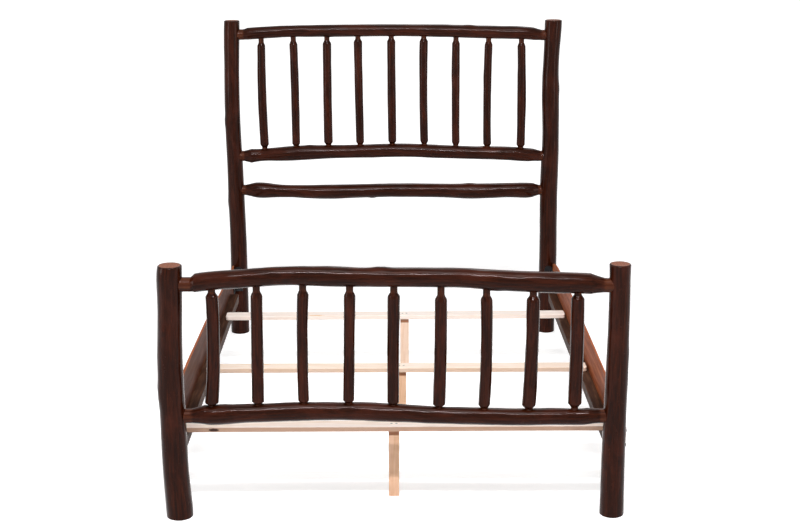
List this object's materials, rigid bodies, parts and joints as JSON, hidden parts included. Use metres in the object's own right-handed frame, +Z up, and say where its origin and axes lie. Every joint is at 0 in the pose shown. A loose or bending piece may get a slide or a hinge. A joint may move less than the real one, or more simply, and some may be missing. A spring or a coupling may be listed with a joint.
{
  "type": "rustic log bed",
  "caption": "Queen log bed with spindle headboard and footboard, slab side rails on corner brackets and lift-off slats that stand on their own legs.",
  "frame": {"origin": "on the floor, in the middle of the four posts", "axes": "+X to the bed's right seen from the foot, +Y from the footboard to the headboard, +Z up"},
  "size_m": [1.6322, 2.2158, 1.528],
  "materials": {
    "dark_log": "peeled log, dark walnut stain under a glossy clear coat",
    "rail_board": "sanded slab face, red-brown stain, semi-gloss",
    "cleat_wood": "rough-sawn strip, dark stain, matt",
    "pale_pine": "planed bare pine",
    "black_steel": "black powder coat",
    "dark_fasteners": "black oxide",
    "zinc_screws": "zinc plated"
  },
  "bodies": {
    "bed_frame": {"foot_left_post": "dark_log", "foot_right_post": "dark_log", "head_left_post": "dark_log", "head_right_post": "dark_log", "head_top_rail": "dark_log", "head_spindle_rail": "dark_log", "head_lower_rail": "dark_log", "foot_top_rail": "dark_log", "foot_bottom_rail": "dark_log", "head_spindle_1": "dark_log", "head_spindle_2": "dark_log", "head_spindle_3": "dark_log", "head_spindle_4": "dark_log", "head_spindle_5": "dark_log", "head_spindle_6": "dark_log", "head_spindle_7": "dark_log", "head_spindle_8": "dark_log", "head_spindle_9": "dark_log", "foot_spindle_1": "dark_log", "foot_spindle_2": "dark_log", "foot_spindle_3": "dark_log", "foot_spindle_4": "dark_log", "foot_spindle_5": "dark_log", "foot_spindle_6": "dark_log", "foot_spindle_7": "dark_log", "foot_spindle_8": "dark_log", "foot_spindle_9": "dark_log", "side_rail_left": "rail_board", "cleat_left": "cleat_wood", "bracket_foot_left": "black_steel", "bracket_head_left": "black_steel", "side_rail_right": "rail_board", "cleat_right": "cleat_wood", "bracket_foot_right": "black_steel", "bracket_head_right": "black_steel", "carriage_bolts": "dark_fasteners", "bolt_washers": "dark_fasteners", "bolt_nuts": "dark_fasteners", "bracket_lag_screws": "dark_fasteners", "cleat_screws": "dark_fasteners"},
    "slat_front_unit": {"slat_front": "pale_pine", "slat_leg_front": "pale_pine", "leg_screws_front": "zinc_screws"},
    "slat_middle_unit": {"slat_middle": "pale_pine", "slat_leg_middle": "pale_pine", "leg_screws_middle": "zinc_screws"},
    "slat_rear_unit": {"slat_rear": "pale_pine", "slat_leg_rear": "pale_pine", "leg_screws_rear": "zinc_screws"}
  },
  "joints": [
    {"name": "slat_front_lift", "type": "slide", "parent": "bed_frame", "child": "slat_front_unit", "axis": [0, 0, 1], "range_m": [0, 0.25]},
    {"name": "slat_middle_lift", "type": "slide", "parent": "bed_frame", "child": "slat_middle_unit", "axis": [0, 0, 1], "range_m": [0, 0.25]},
    {"name": "slat_rear_lift", "type": "slide", "parent": "bed_frame", "child": "slat_rear_unit", "axis": [0, 0, 1], "range_m": [0, 0.25]}
  ]
}
